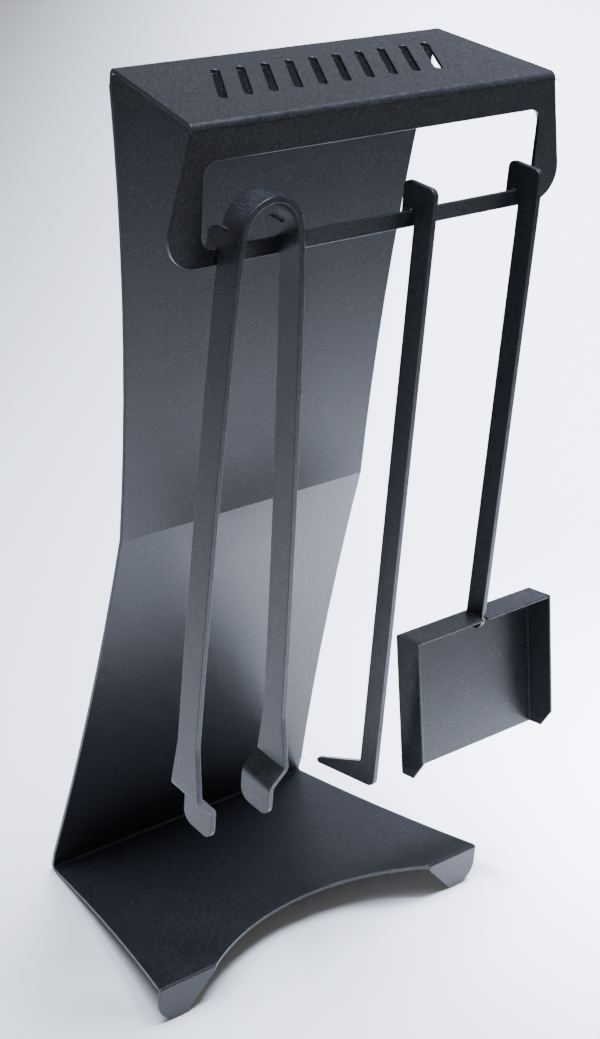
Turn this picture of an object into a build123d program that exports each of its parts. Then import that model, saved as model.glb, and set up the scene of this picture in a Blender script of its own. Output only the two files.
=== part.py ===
from build123d import *
import os

os.makedirs("parts", exist_ok=True)

# Fireplace tool set: a folded steel stand, with tongs, a poker and a shovel hung on its front rail.
# Millimetres, +Z up, +X to the right, +Y towards the back; the floor is Z = 0.
# The origin is on the floor, under the middle of the whole set's bounding box.

mid = -16.561        # X of the stand's plane of symmetry
back = 103.577       # Y of the crease between the base plate and the lower back panel
past = 10.0          # how far a cutting sketch reaches past what it cuts


def forward(distance):
    """Y of a place that lies this far in front of the back crease."""
    return back - distance


# The stand: one sheet, folded. Its side view follows the foot's front face, the base's top,
# the fronts of the two back panels, the top plate's underside and the flange's back.
sheet = 3.0
fold_radius = 1.8
overall_half = 170.0         # the strip before its outline is cut
fold_forward = 187.0         # where the base turns down into the feet
fold_height = 32.7
waist_forward = 60.5
waist_height = 314.0
top_forward = 70.4
top_height = 640.8
flange_forward = 168.3
flange_height = 634.8

# Half widths of the sheet's outline at each fold, and half way between two folds
half_crease = 120.7
half_lower = 109.4
half_waist = 106.0
half_upper = 111.2
half_top_back = 128.4
half_top_front = 141.2
half_flange = 158.7          # at the rail's lower edge, before the corner is rounded
half_base = 132.0
half_fold = 148.0

# The front flange is a frame; the bar under its window is the rail.
rail_bottom = 552.4
rail_top = 562.7
window_top = 615.0
window_half = 131.5
window_corner = 9.0
flange_corner = 20.0         # its lower corners

# The feet, and the hollow of the base's front edge between them
foot_outer = 149.0
foot_inner = 125.5
foot_gap = 100.0
foot_shoulder = 28.7         # where the inner edge leaves the vertical
foot_outer_corner = 17.5
foot_inner_corner = 8.0
hollow_radius = 182.0
hollow_depth = 31.0

# A row of slanted slots through the top plate
slot_count = 10
slot_pitch = 18.5
slot_length = 52.0
slot_width = 5.5
slot_slant = 60.0
slots_forward = 116.0

# The tools are flat steel, cut to shape and hung edge-on: 16 mm bars and a 20 mm strip.
plate = 4.0
bar_rear = forward(172.4)
bar_front = forward(188.6)
strip_front = forward(192.5)
hook_rear = forward(160.0)
finger_front = forward(167.3)
finger_bottom = rail_bottom + 0.6
slot_top = rail_top + 0.3
head_top = 580.3
head_corner = 5.0
poker_x = mid + 32.1
shovel_x = mid + 121.8
tongs_x = mid - 96.0

# ---------------------------------------------------------------- stand
side_view = [
    (forward(fold_forward), 0),
    (forward(fold_forward), fold_height),
    (forward(0), sheet),
    (forward(waist_forward), waist_height),
    (forward(top_forward), top_height),
    (forward(flange_forward), flange_height),
    (forward(flange_forward), rail_bottom),
]
outside = mid + overall_half + past
below = -past
panel_low = 17.0             # the base's outline takes over below this
panel_high = flange_height - 2
fold_line = forward(fold_forward - sheet - fold_radius)
flange_line = forward(flange_forward - past / 2)
mirror_plane = Plane.YZ.offset(mid)

with BuildPart() as stand:
    with BuildSketch(Plane.YZ.offset(mid)):
        with BuildLine():
            FilletPolyline(*side_view, radius=fold_radius)
            offset(amount=sheet, side=Side.RIGHT)
        make_face()
    extrude(amount=overall_half, both=True)

    # beside the two back panels, waisted where they meet
    with BuildSketch(Plane.XZ.offset(-back - past)):
        with BuildLine():
            low = (mid + half_crease, panel_low)
            waist = (mid + half_waist, waist_height)
            high = (mid + half_top_back, panel_high)
            ThreePointArc(low, (mid + half_lower, (panel_low + waist_height) / 2), waist)
            ThreePointArc(waist, (mid + half_upper, (waist_height + panel_high) / 2), high)
            Polyline(high, (outside, panel_high), (outside, panel_low), low)
        make_face()
        mirror(about=mirror_plane)
    extrude(amount=top_forward + 2 * past, mode=Mode.SUBTRACT)

    # beside the base plate, which widens towards the front
    with BuildSketch(Plane.XY.offset(below)):
        with BuildLine():
            rear = (mid + half_crease, back)
            front = (mid + half_fold, fold_line)
            behind = forward(-past)
            ThreePointArc(rear, (mid + half_base, forward(fold_forward / 2)), front)
            Polyline(front, (outside, fold_line), (outside, behind), (mid + half_crease, behind), rear)
        make_face()
        mirror(about=mirror_plane)
        # the hollow of the front edge
        with Locations((mid, forward(fold_forward + hollow_radius - hollow_depth))):
            Circle(hollow_radius)
    extrude(amount=fold_height + 2 * past, mode=Mode.SUBTRACT)

    # beside and between the two feet
    with BuildSketch(Plane.XZ.offset(-fold_line)):
        with BuildLine():
            above = fold_height + past
            foot = FilletPolyline(
                (mid + half_fold, above),
                (mid + foot_outer, 0),
                (mid + foot_inner, 0),
                (mid + foot_gap, foot_shoulder),
                radius=(foot_outer_corner, foot_inner_corner),
            )
            Polyline(
                foot @ 1,
                (mid, foot_shoulder),
                (mid, below),
                (outside, below),
                (outside, above),
                foot @ 0,
            )
        make_face()
        mirror(about=mirror_plane)
    extrude(amount=past, mode=Mode.SUBTRACT)

    # beside the top plate
    with BuildSketch(Plane.XY.offset(panel_high)):
        with BuildLine():
            spread = past * (half_top_front - half_top_back) / (flange_forward - top_forward)
            rear = forward(top_forward - past)
            front = forward(flange_forward + sheet + past)
            Polyline(
                (mid + half_top_back - spread, rear),
                (mid + half_top_front + spread, front),
                (outside, front),
                (outside, rear),
                close=True,
            )
        make_face()
        mirror(about=mirror_plane)
    extrude(amount=2 * past, mode=Mode.SUBTRACT)

    # beside and below the front flange
    with BuildSketch(Plane.XZ.offset(-flange_line)):
        with Locations((mid, (rail_bottom + panel_high - past) / 2)):
            Rectangle(2 * overall_half + past, panel_high - rail_bottom + past)
        with BuildLine():
            spread = past * (half_flange - half_top_front) / (panel_high - rail_bottom)
            edge = FilletPolyline(
                (mid + half_top_front - spread, panel_high + past),
                (mid + half_flange, rail_bottom),
                (mid - half_flange, rail_bottom),
                (mid - half_top_front + spread, panel_high + past),
                radius=flange_corner,
            )
            Line(edge @ 1, edge @ 0)
        make_face(mode=Mode.SUBTRACT)
    extrude(amount=2 * past, mode=Mode.SUBTRACT)

    # the window above the rail
    with BuildSketch(Plane.XZ.offset(-flange_line)):
        with Locations((mid, (rail_top + window_top) / 2)):
            RectangleRounded(2 * window_half, window_top - rail_top, window_corner)
    extrude(amount=2 * past, mode=Mode.SUBTRACT)

    # the slots in the top plate
    with BuildSketch(Plane.XY.offset(panel_high)):
        with Locations((mid, forward(slots_forward))):
            with GridLocations(slot_pitch, 0, slot_count, 1):
                SlotOverall(slot_length, slot_width, rotation=slot_slant)
    extrude(amount=2 * past, mode=Mode.SUBTRACT)

stand.part.label = "stand"
export_step(stand.part, "parts/stand.step")

# ---------------------------------------------------------------- poker
# Both bars hang by the same hook: a finger behind the rail, and a slot that sits on it.
hook = [
    (bar_rear, slot_top),
    (finger_front, slot_top),
    (finger_front, finger_bottom),
    (hook_rear, finger_bottom),
    (hook_rear, head_top),
    (bar_front, head_top),
]
hook_radii = [1.8, 1.8, 2.5, 3.5, head_corner, head_corner]

barb_root = 148.8
barb_point = (forward(111), 116.4)
poker_bottom = 135.0

with BuildPart() as poker:
    with BuildSketch(Plane.YZ.offset(poker_x)):
        with BuildLine():
            FilletPolyline(
                *hook,
                (bar_front, poker_bottom),
                barb_point,
                (bar_rear, barb_root),
                radius=hook_radii + [8.0, 2.2, 2.0],
                close=True,
            )
        make_face()
    extrude(amount=plate / 2, both=True)

poker.part.label = "poker"
export_step(poker.part, "parts/poker.step")

# ---------------------------------------------------------------- shovel
bar_end = 237.3

with BuildPart() as shovel_handle:
    with BuildSketch(Plane.YZ.offset(shovel_x)):
        with BuildLine():
            FilletPolyline(
                *hook,
                (bar_front, bar_end),
                (bar_rear, bar_end),
                radius=hook_radii + [8.0, 1.5],
                close=True,
            )
        make_face()
    extrude(amount=plate / 2, both=True)

shovel_handle.part.label = "shovel_handle"
export_step(shovel_handle.part, "parts/shovel_handle.step")

# The pan is a bent sheet: a floor, two side walls and a top wall that the bar is welded into.
# It is drawn from its upper outer corner, along its floor (down) and square to it (out).
pan_sheet = 2.0
pan_half = 65.2
pan_length = 108.5
pan_depth = 24.5
pan_bend = 2.4
pan_tilt = 11.4
wall_corner = (13.4, 14.0)   # the cut corner of each side wall: the depth that is left, and its rise
seam = 0.3
pan_corner = (shovel_x, forward(167.0), 244.2)
down = Vector(0, 0, -1).rotate(Axis.X, -pan_tilt)
out = Vector(0, -1, 0).rotate(Axis.X, -pan_tilt)
across_pan = Plane(origin=pan_corner, x_dir=(1, 0, 0), z_dir=down)
beside_pan = Plane(origin=pan_corner, x_dir=out, z_dir=(1, 0, 0))
notch_rear = 5.1             # the bar's notch in the top wall
notch_play = 0.05

with BuildPart() as shovel_pan:
    with BuildSketch(across_pan):
        with BuildLine():
            FilletPolyline(
                (-pan_half, pan_depth),
                (-pan_half, 0),
                (pan_half, 0),
                (pan_half, pan_depth),
                radius=pan_bend,
            )
            offset(amount=pan_sheet, side=Side.LEFT)
        make_face()
    extrude(amount=pan_length)
    # the top wall, between the side walls
    with BuildSketch(beside_pan):
        with Locations((pan_depth / 2, pan_sheet / 2)):
            Rectangle(pan_depth, pan_sheet)
    extrude(amount=pan_half - pan_sheet - seam, both=True)
    # its bend, and the side walls' upper corners
    with BuildSketch(beside_pan):
        with Locations((pan_bend / 2, pan_bend / 2)):
            Rectangle(pan_bend, pan_bend)
        with Locations((pan_bend, pan_bend)):
            Circle(pan_bend, mode=Mode.SUBTRACT)
    extrude(amount=pan_half + past, both=True, mode=Mode.SUBTRACT)
    # the side walls' cut corners
    with BuildSketch(beside_pan):
        with BuildLine():
            Polyline(
                (wall_corner[0], pan_length),
                (pan_depth, pan_length - wall_corner[1]),
                (pan_depth + past, pan_length),
                (wall_corner[0], pan_length + past),
                close=True,
            )
        make_face()
    extrude(amount=pan_half + past, both=True, mode=Mode.SUBTRACT)
    # the notch that the bar goes through
    with BuildSketch(beside_pan):
        with Locations(((notch_rear + pan_depth + past) / 2, pan_sheet / 2)):
            Rectangle(pan_depth + past - notch_rear, 2 * pan_sheet)
    extrude(amount=plate / 2 + notch_play, both=True, mode=Mode.SUBTRACT)

shovel_pan.part.label = "shovel_pan"
export_step(shovel_pan.part, "parts/shovel_pan.step")

# A weld bead along each side of the bar, on the top wall
weld = 1.6
weld_from = 7.0
weld_to = 19.0
for name, side in (("left", -1), ("right", 1)):
    with BuildPart() as bead:
        with BuildSketch(Plane(origin=pan_corner + out * weld_from, x_dir=(side, 0, 0), z_dir=out)):
            with BuildLine():
                Polyline((plate / 2, 0), (plate / 2 + weld, 0), (plate / 2, side * weld), close=True)
            make_face()
        extrude(amount=weld_to - weld_from)
    bead.part.label = f"shovel_weld_{name}"
    export_step(bead.part, f"parts/shovel_weld_{name}.step")

# ---------------------------------------------------------------- tongs
# One strip bent into a hairpin, drawn as half of its outer side from the crown down.
crown = 596.7
bow_radius = 22.3
bow_turn = 82.0
shoulder_radius = 502.0
shoulder_turn = 5.0
leg_radius = 8900.0
leg_turn = 2.15
joggle_top = 191.0
joggle_bottom = 179.0
joggle_radius = 6.0
tip_half = 25.8              # from the middle to the outer side of a tip
tip_bottom = 156.8
tip_rear = forward(167.5)
tip_front = forward(198.5)
strip_rear = forward(150.0)
strip_width = 60.0           # before its outline is cut
flare_top = 229.0
lobe_top = 574.0
relief = 3.0                 # height of the cut between the hook and the bow
relief_front = forward(177.5)
split_height = 549.0         # where the legs are taken to hinge on the bow
split_gap = 0.3

with BuildPart() as tongs:
    with BuildSketch(Plane.XZ.offset(-strip_rear)):
        with BuildLine():
            bow = JernArc((tongs_x, crown), (1, 0), bow_radius, -bow_turn)
            shoulder = JernArc(bow @ 1, bow % 1, shoulder_radius, -shoulder_turn)
            leg = JernArc(shoulder @ 1, shoulder % 1, leg_radius, -leg_turn)
            knee = (leg @ 1).X + (leg % 1).X * ((leg @ 1).Y - joggle_top)
            FilletPolyline(
                leg @ 1,
                (knee, joggle_top),
                (tongs_x + tip_half, joggle_bottom),
                (tongs_x + tip_half, tip_bottom - past),
                radius=joggle_radius,
            )
            offset(amount=plate, side=Side.RIGHT)
        make_face()
        mirror(about=Plane.YZ.offset(tongs_x))
    extrude(amount=strip_width)
    # its outline, seen from the side
    with BuildSketch(Plane.YZ.offset(tongs_x)):
        with BuildLine():
            FilletPolyline(
                (strip_front, crown + past),
                (bar_rear, crown + past),
                (bar_rear, lobe_top + relief),
                (relief_front, lobe_top + relief),
                (relief_front, lobe_top),
                (hook_rear, lobe_top),
                (hook_rear, finger_bottom),
                (finger_front, finger_bottom),
                (finger_front, slot_top),
                (bar_rear, slot_top),
                (bar_rear, flare_top),
                (tip_rear, joggle_top),
                (tip_rear, tip_bottom),
                (tip_front, tip_bottom),
                (tip_front, joggle_top),
                (strip_front, flare_top),
                radius=[1, 1, 1, 1.2, 1.2, 4, 3.5, 2.5, 1.8, 1.8, 30, 12, 9, 8, 12, 30],
                close=True,
            )
        make_face()
    extrude(amount=strip_width, both=True, mode=Mode.INTERSECT)

with BuildPart() as tongs_bow:
    add(tongs.part)
    split(bisect_by=Plane.XY.offset(split_height + split_gap), keep=Keep.TOP)

tongs_bow.part.label = "tongs_bow"
export_step(tongs_bow.part, "parts/tongs_bow.step")

for name, keep in (("left", Keep.BOTTOM), ("right", Keep.TOP)):
    with BuildPart() as leg:
        add(tongs.part)
        split(bisect_by=Plane.XY.offset(split_height), keep=Keep.BOTTOM)
        split(bisect_by=Plane.YZ.offset(tongs_x), keep=keep)
    leg.part.label = f"tongs_{name}_leg"
    export_step(leg.part, f"parts/tongs_{name}_leg.step")
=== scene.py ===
# %% [markdown]
# # A fireplace tool set in powder-coated steel
#
# One steel sheet, folded five times, makes the stand. Tongs, a poker and a shovel hang on the bar
# under the window of its front flange. The solids come ready made, at their real size, from the
# imported model. This lesson gives them the look of the finished product: soft cut edges, weld
# beads, tongs with their gap closed, a sandy black coat, and the studio they stand in.

# %% Load the fixed frame
import math

import bmesh
import bpy
from mathutils import Matrix, Quaternion, Vector


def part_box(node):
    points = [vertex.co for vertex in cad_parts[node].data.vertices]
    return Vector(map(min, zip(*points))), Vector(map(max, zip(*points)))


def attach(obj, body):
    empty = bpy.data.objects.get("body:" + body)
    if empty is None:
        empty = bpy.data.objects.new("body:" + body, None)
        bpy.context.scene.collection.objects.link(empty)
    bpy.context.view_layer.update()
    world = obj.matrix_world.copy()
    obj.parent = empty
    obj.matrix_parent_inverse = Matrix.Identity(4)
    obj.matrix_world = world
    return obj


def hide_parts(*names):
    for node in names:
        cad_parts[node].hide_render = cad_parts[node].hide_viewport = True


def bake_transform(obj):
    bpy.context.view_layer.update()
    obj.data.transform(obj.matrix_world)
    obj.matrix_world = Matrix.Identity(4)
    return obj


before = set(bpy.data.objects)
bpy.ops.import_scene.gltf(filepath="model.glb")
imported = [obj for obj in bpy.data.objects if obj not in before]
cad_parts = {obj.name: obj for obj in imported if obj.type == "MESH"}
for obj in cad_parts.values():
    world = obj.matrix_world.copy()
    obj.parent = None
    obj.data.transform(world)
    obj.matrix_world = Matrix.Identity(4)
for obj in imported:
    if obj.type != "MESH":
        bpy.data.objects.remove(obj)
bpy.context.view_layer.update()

mm = 0.001                                  # the set is in millimetres, the studio in metres

# %% [markdown]
# ## Colours and nodes
#
# A colour picked on a screen is an sRGB value, but a shader adds up light, so it wants linear
# numbers. One function turns a hex value into those. A second one adds any shader node, fills in
# its sockets and settings, and returns it, so that a material reads like a short recipe.


# %% One function for colours, one for nodes
def colour(code):
    """The linear RGBA of an sRGB hex code such as "#1d1e20"."""
    parts = [int(code[i:i + 2], 16) / 255 for i in (1, 3, 5)]
    return [p / 12.92 if p <= 0.04045 else ((p + 0.055) / 1.055) ** 2.4 for p in parts] + [1.0]


def add_node(tree, kind, settings=None, **sockets):
    """Adds a node. settings are its own options; sockets are values, or outputs to link from."""
    node = tree.nodes.new("ShaderNode" + kind)
    for name, value in (settings or {}).items():
        setattr(node, name, value)
    for name, value in sockets.items():
        socket = node.inputs[name.replace("_", " ")]
        if isinstance(value, bpy.types.NodeSocket):
            tree.links.new(value, socket)
        else:
            socket.default_value = value
    return node


# %% [markdown]
# ## Powder coat
#
# The steel is sprayed with dry powder and baked. The powder melts into a tough plastic skin whose
# surface keeps a fine sandy grain, and under the grain a slow ripple that makers call orange
# peel. So it is not a metal to the shader but a very dark plastic over metal: metallic 0, an IOR
# of 1.5, a satin roughness, and two layers of bump. The grains shade each other, which costs a
# fifth of the gloss. Their tips are painted a little paler than the film between them, as painted
# glints of light. The grain is about 0.4 mm on the real coat; here it is drawn at 1.1 mm, because
# anything finer would be lost.

# %% The coat's material
grain_size = 1.1 * mm
grain_height = 0.1 * mm
grain_strength = 0.4
grain_floor, grain_top = 0.45, 0.8          # the part of the noise that rises out of the film
peel_size = 7.0 * mm
peel_height = 0.25 * mm
peel_strength = 0.12
rough_swing = 0.03                          # how far the peel moves the roughness, each way
coat_ior = 1.5
coat_gloss = 0.4                            # 0.5 is all the gloss that the IOR gives


def powder_coat(name, film_colour, painted_glint_colour, rough):
    """A dark plastic film of one colour, with a paler colour painted on the grain tips as glints.
    """
    material = bpy.data.materials.new(name)
    material.use_nodes = True
    tree = material.node_tree
    shader = tree.nodes["Principled BSDF"]
    place = add_node(tree, "TexCoord").outputs["Object"]
    grain = add_node(
        tree, "TexNoise", Vector=place, Scale=1 / grain_size, Detail=3.0, Roughness=0.6,
    )
    peel = add_node(tree, "TexNoise", Vector=place, Scale=1 / peel_size, Detail=1.0)
    # grains stand out of a level film, so the noise is cut off at its low end
    bumps = add_node(
        tree, "MapRange", Value=grain.outputs["Fac"], From_Min=grain_floor, From_Max=grain_top,
    )
    # the grain tips get a paler colour: painted glints of light, not a tone of the coat itself
    painted_glint_mix = add_node(
        tree, "Mix", {"data_type": "RGBA"},
        Factor=bumps.outputs["Result"], A=colour(film_colour), B=colour(painted_glint_colour),
    )
    gloss = add_node(
        tree, "MapRange", Value=peel.outputs["Fac"],
        From_Min=0.3, From_Max=0.7, To_Min=rough - rough_swing, To_Max=rough + rough_swing,
    )
    slow = add_node(
        tree, "Bump", Height=peel.outputs["Fac"], Strength=peel_strength, Distance=peel_height,
    )
    fine = add_node(
        tree, "Bump", Height=bumps.outputs["Result"], Normal=slow.outputs["Normal"],
        Strength=grain_strength, Distance=grain_height,
    )
    tree.links.new(painted_glint_mix.outputs[2], shader.inputs["Base Color"])
    tree.links.new(gloss.outputs["Result"], shader.inputs["Roughness"])
    tree.links.new(fine.outputs["Normal"], shader.inputs["Normal"])
    shader.inputs["Metallic"].default_value = 0.0
    shader.inputs["IOR"].default_value = coat_ior
    shader.inputs["Specular IOR Level"].default_value = coat_gloss
    print("material", name, "grain", grain_size / mm, "mm, orange peel", peel_size / mm, "mm")
    return material


# the second colour of each coat is the painted glint on its grain tips
stand_coat = powder_coat("powder_coated_sheet_steel", "#17181b", "#3c3e42", 0.31)
tool_coat = powder_coat("powder_coated_flat_steel", "#17181b", "#3e4044", 0.30)

# %% [markdown]
# ## Cut edges
#
# A laser leaves a square edge, and the melted powder draws back from it and rounds it off to
# about half a millimetre. That narrow round is what catches a thin line of light all along the
# sheet. The CAD mesh is loose triangles, so a copy is merged, its flat triangles are dissolved
# into whole faces, and only then is every sharp edge bevelled. An edge that has to stay square is
# marked as sharp. A weighted normal keeps the flat faces flat and lets only the round turn the
# light.

# %% A coated copy of a CAD node
edge_round = 0.45 * mm
edge_segments = 3
merge_gap = 0.002 * mm
flat_enough = math.radians(0.5)
sharp_from = math.radians(28)


def merged(node):
    """A bmesh of the CAD node with its triangles joined into whole faces."""
    mesh = bmesh.new()
    mesh.from_mesh(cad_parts[node].data)
    bmesh.ops.remove_doubles(mesh, verts=mesh.verts, dist=merge_gap)
    bmesh.ops.dissolve_limit(mesh, angle_limit=flat_enough, verts=mesh.verts, edges=mesh.edges)
    return mesh


def soften(mesh, keep=lambda edge: False):
    """Rounds every sharp edge of the bmesh. Those that keep(edge) is true for stay square."""
    sharp = [e for e in mesh.edges if e.calc_face_angle(0) > sharp_from and not keep(e)]
    bmesh.ops.bevel(
        mesh, geom=sharp, offset=edge_round, offset_type="OFFSET", segments=edge_segments,
        profile=0.5, affect="EDGES", material=-1, clamp_overlap=False,
    )
    for edge in mesh.edges:
        edge.smooth = not keep(edge)


def finished(mesh, name, material):
    """Turns the bmesh into a smooth-shaded object with its coat on."""
    data = bpy.data.meshes.new(name)
    mesh.to_mesh(data)
    mesh.free()
    data.shade_smooth()
    data.materials.append(material)
    piece = bpy.data.objects.new(name, data)
    bpy.context.scene.collection.objects.link(piece)
    even = piece.modifiers.new("flat faces stay flat", "WEIGHTED_NORMAL")
    even.keep_sharp = True
    size = [round(v / mm, 1) for v in piece.dimensions]
    print(name, len(data.polygons), "faces, size in mm", size)
    return piece


def coated(node, name, body, material=tool_coat):
    """Puts a softened, coated piece in the place of a CAD node, on the given body."""
    mesh = merged(node)
    soften(mesh)
    piece = finished(mesh, name, material)
    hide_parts(node)
    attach(piece, body)


# %% [markdown]
# ## The stand
#
# Feet, base, lower back, upper back, top plate and front flange are one sheet of 3 mm steel. Its
# outline was cut flat and then folded, so the same soft edge runs all the way round it, through
# every fold, and round the slots and the window as well.

# %% The folded sheet
coated("stand", "folded_stand", "stand", stand_coat)

# %% [markdown]
# ## Poker and shovel
#
# Both bars are cut from 4 mm flat steel, hook and all. The pan is a bent 2 mm sheet, welded to
# its bar where the bar passes through its top wall.

# %% Bars and pan
coated("poker", "flat_poker", "poker")
coated("shovel_handle", "shovel_bar", "shovel")
coated("shovel_pan", "bent_pan", "shovel")

# %% [markdown]
# ## Weld beads
#
# A weld bead is a row of drops, each frozen over the last. Small balls set in a row, less than a
# radius apart, give that shape, and a voxel remesh melts them into one skin. Each row follows the
# corner between the bar and the pan's top wall that its CAD bead marks.

# %% Two beads beside the shovel's bar
drop = 1.3 * mm
drop_step = 1.1 * mm
skin_voxel = 0.25 * mm


def weld_bead(node, name):
    """A row of melted drops along the side of the bar that the CAD bead is on."""
    low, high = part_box(node)
    bar_low, bar_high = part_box("shovel_handle")
    root = bar_low.x if high.x < bar_high.x else bar_high.x
    start, end = Vector((root, high.y, low.z)), Vector((root, low.y, high.z - drop))
    mesh = bmesh.new()
    count = round((end - start).length / drop_step)
    for i in range(count + 1):
        place = Matrix.Translation(start.lerp(end, i / count))
        bmesh.ops.create_icosphere(mesh, subdivisions=2, radius=drop, matrix=place)
    piece = finished(mesh, name, tool_coat)
    melt = piece.modifiers.new("melt together", "REMESH")
    melt.mode, melt.voxel_size, melt.use_smooth_shade = "VOXEL", skin_voxel, True
    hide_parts(node)
    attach(piece, "shovel")


for side in ("left", "right"):
    weld_bead(f"shovel_weld_{side}", f"weld_bead_{side}")

# %% [markdown]
# ## Tongs
#
# The tongs are one strip bent into a hairpin. Squeezing them bends the strip below the hooks, so
# the bow keeps still and each leg turns. The model marks that place with a hinge and a thin gap.
# Here each leg's top end is drawn up to close the gap and crossed by a dozen cuts below it. The
# ends that meet stay square, because a rounded end would show as a groove.

# %% The bow and two legs, with cuts below the joint
joint_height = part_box("tongs_bow")[0].z
bend_length = 60 * mm
bend_cuts = 12
near_joint = 0.5 * mm                       # an edge this close to the joint is a square end
level = 0.01 * mm                           # heights this close are the same


def at_joint(edge):
    """True for the edges of a strip's square end."""
    return all(abs(v.co.z - joint_height) < near_joint for v in edge.verts)


mesh = merged("tongs_bow")
soften(mesh, keep=at_joint)
bow = finished(mesh, "tongs_bow_strip", tool_coat)
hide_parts("tongs_bow")
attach(bow, "tongs")

for side in ("left", "right"):
    mesh = merged(f"tongs_{side}_leg")
    leg_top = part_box(f"tongs_{side}_leg")[1].z
    for v in mesh.verts:
        if abs(v.co.z - leg_top) < level:
            v.co.z = joint_height
    soften(mesh, keep=at_joint)
    for i in range(1, bend_cuts + 1):
        height = joint_height - i * bend_length / bend_cuts
        bmesh.ops.bisect_plane(
            mesh, geom=[*mesh.verts, *mesh.edges, *mesh.faces],
            plane_co=(0, 0, height), plane_no=(0, 0, 1),
        )
    leg = finished(mesh, f"tongs_{side}_strip", tool_coat)
    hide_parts(f"tongs_{side}_leg")
    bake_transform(leg)

# %% [markdown]
# ## Studio
#
# A product like this stands on pale paper, under soft boxes that shine straight down. The coat is
# nearly black, so most of what it shows is the floor, mirrored dimly. Each box therefore has a
# narrow spread and lights one pool of floor. The long box runs away from the camera and makes the
# background pale. The left box gives the tongs their light side faces. The small right box
# brightens the floor that the lower panel and the pan mirror. Beyond the pools the paper is dim,
# so the flange, which mirrors the far floor, stays almost black.

# %% Floor, world and soft boxes
floor_half = 8.0
floor_data = bpy.data.meshes.new("floor")
mesh = bmesh.new()
bmesh.ops.create_grid(mesh, x_segments=1, y_segments=1, size=floor_half)
mesh.to_mesh(floor_data)
mesh.free()
floor = bpy.data.objects.new("floor", floor_data)
bpy.context.scene.collection.objects.link(floor)

paper = bpy.data.materials.new("matt_white_paper")
paper.use_nodes = True
paper_shader = paper.node_tree.nodes["Principled BSDF"]
paper_shader.inputs["Base Color"].default_value = colour("#f5f5f4")
paper_shader.inputs["Roughness"].default_value = 0.9
paper_shader.inputs["Specular IOR Level"].default_value = 0.1
floor_data.materials.append(paper)

world = bpy.data.worlds.new("soft_room")
bpy.context.scene.world = world
world.use_nodes = True
background = world.node_tree.nodes["Background"]
background.inputs["Color"].default_value = colour("#f1ede8")
background.inputs["Strength"].default_value = 0.25


def soft_box(name, place, turn, size, watts, spread):
    """A soft box that shines straight down, turned about the upright axis."""
    lamp = bpy.data.lights.new(name, "AREA")
    lamp.shape, lamp.size, lamp.size_y = "RECTANGLE", *size
    lamp.energy, lamp.spread = watts, math.radians(spread)
    lamp.color = colour("#e0e9ff")[:3]
    holder = bpy.data.objects.new(name, lamp)
    holder.location = place
    holder.rotation_euler = (0, 0, math.radians(turn))
    bpy.context.scene.collection.objects.link(holder)
    print(name, watts, "W at", place)


soft_box("long_overhead_box", (1.45, 1.1, 2.4), turn=-40, size=(0.8, 4.0), watts=110, spread=50)
soft_box("left_box", (-0.8, 0.1, 2.4), turn=0, size=(1.2, 1.2), watts=18, spread=70)
soft_box("right_box", (0.44, -0.16, 2.2), turn=0, size=(0.25, 0.25), watts=4.5, spread=20)

# %% [markdown]
# ## Camera
#
# The camera stands in front and to the left, about 0.3 m above the top plate, and looks down at
# the set with a slight roll. A moderately long lens keeps the uprights nearly parallel.

# %% Camera
camera_place = Vector((-0.7539, -0.8964, 0.9347))
camera_turn, camera_tilt, camera_roll = map(math.radians, (39.98, 27.765, 4.373))
sensor, focal_length = 36.0, 65.48          # in millimetres, as a camera's settings are
looking = Vector((
    math.sin(camera_turn) * math.cos(camera_tilt),
    math.cos(camera_turn) * math.cos(camera_tilt),
    -math.sin(camera_tilt),
))
camera_data = bpy.data.cameras.new("camera")
camera_data.sensor_width = sensor
camera_data.lens = focal_length
camera = bpy.data.objects.new("camera", camera_data)
camera.location = camera_place
camera.rotation_mode = "QUATERNION"
roll = Quaternion((0, 0, 1), camera_roll)
camera.rotation_quaternion = looking.to_track_quat("-Z", "Y") @ roll
bpy.context.scene.collection.objects.link(camera)
bpy.context.scene.camera = camera
print("camera at", [round(v, 3) for v in camera_place])
